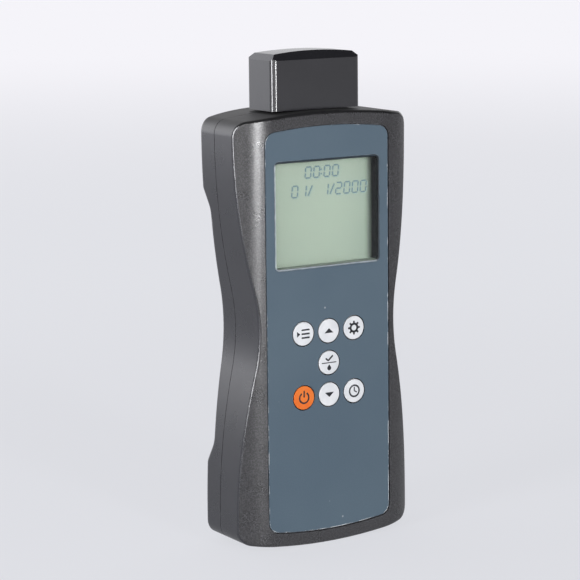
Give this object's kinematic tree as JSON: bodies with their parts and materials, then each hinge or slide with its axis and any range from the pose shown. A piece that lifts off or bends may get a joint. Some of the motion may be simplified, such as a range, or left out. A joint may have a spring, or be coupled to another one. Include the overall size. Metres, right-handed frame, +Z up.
{
  "type": "handheld luminometer",
  "caption": "Handheld meter that reads the light of a swab: waisted case with a display, round keys, a sliding battery door and a pull-off cap over the swab chamber.",
  "frame": {"origin": "centre of the bounding box at its lowest point, the foot of the case", "axes": "+Z up along the case to the cap, the panel and keys face -Y, +X is on the right for someone who reads the panel"},
  "size_m": [0.0768, 0.037, 0.188],
  "materials": {
    "shell_front": "fine spark-eroded texture",
    "shell_back": "fine satin texture",
    "cap": "satin",
    "panel": "printed film",
    "clear_pane": "clear film over the display",
    "display": "reflective display glass",
    "light_guide": "milky",
    "black_plastic": "moulded",
    "white_key": "semi-gloss",
    "orange_key": "semi-gloss",
    "stem": "moulded",
    "board": "solder mask",
    "chips": "moulded packages",
    "soft_seal": "soft",
    "steel": "plated",
    "spring_strip": "nickel plated",
    "cell_can": "wrapped can",
    "coin_cell": "plated can",
    "chamber": "light-tight black",
    "lens": "polished"
  },
  "bodies": {
    "case": {"front_shell": "shell_front", "back_shell": "shell_back", "case_gasket": "soft_seal", "panel_overlay": "panel", "display_window": "clear_pane", "display_frame": "black_plastic", "display_glass": "display", "display_strip": "soft_seal", "light_guide": "light_guide", "main_board": "board", "board_chips": "chips", "beeper": "black_plastic", "clock_cell": "coin_cell", "switch_bodies": "black_plastic", "board_screws": "steel", "case_screws": "steel", "chamber_tube": "chamber", "chamber_seal": "soft_seal", "detector_housing": "chamber", "detector_lens": "lens", "photodiode": "steel", "sensor_board": "board", "detector_shield": "steel", "cell_lower": "cell_can", "cell_upper": "cell_can", "contact_left": "spring_strip", "contact_right": "spring_strip"},
    "cap": {"cap_shell": "cap", "cap_pad": "black_plastic", "cap_seal": "soft_seal"},
    "door": {"battery_door": "shell_back"},
    "button_select": {"key_select": "white_key", "stem_select": "stem"},
    "button_up": {"key_up": "white_key", "stem_up": "stem"},
    "button_set": {"key_set": "white_key", "stem_set": "stem"},
    "button_enter": {"key_enter": "white_key", "stem_enter": "stem"},
    "button_power": {"key_power": "orange_key", "stem_power": "stem"},
    "button_down": {"key_down": "white_key", "stem_down": "stem"},
    "button_time": {"key_time": "white_key", "stem_time": "stem"}
  },
  "joints": [
    {"name": "cap_lift", "type": "slide", "parent": "case", "child": "cap", "axis": [0, 0, 1], "range_m": [0, 0.125]},
    {"name": "door_slide", "type": "slide", "parent": "case", "child": "door", "axis": [0, 0, -1], "range_m": [0, 0.036]},
    {"name": "press_select", "type": "slide", "parent": "case", "child": "button_select", "axis": [0, 1, 0], "range_m": [0, 0.0003], "stiffness_N_per_m": 2000, "springref_m": -0.0002},
    {"name": "press_up", "type": "slide", "parent": "case", "child": "button_up", "axis": [0, 1, 0], "range_m": [0, 0.0003], "stiffness_N_per_m": 2000, "springref_m": -0.0002},
    {"name": "press_set", "type": "slide", "parent": "case", "child": "button_set", "axis": [0, 1, 0], "range_m": [0, 0.0003], "stiffness_N_per_m": 2000, "springref_m": -0.0002},
    {"name": "press_enter", "type": "slide", "parent": "case", "child": "button_enter", "axis": [0, 1, 0], "range_m": [0, 0.0003], "stiffness_N_per_m": 2000, "springref_m": -0.0002},
    {"name": "press_power", "type": "slide", "parent": "case", "child": "button_power", "axis": [0, 1, 0], "range_m": [0, 0.0003], "stiffness_N_per_m": 2000, "springref_m": -0.0002},
    {"name": "press_down", "type": "slide", "parent": "case", "child": "button_down", "axis": [0, 1, 0], "range_m": [0, 0.0003], "stiffness_N_per_m": 2000, "springref_m": -0.0002},
    {"name": "press_time", "type": "slide", "parent": "case", "child": "button_time", "axis": [0, 1, 0], "range_m": [0, 0.0003], "stiffness_N_per_m": 2000, "springref_m": -0.0002}
  ]
}
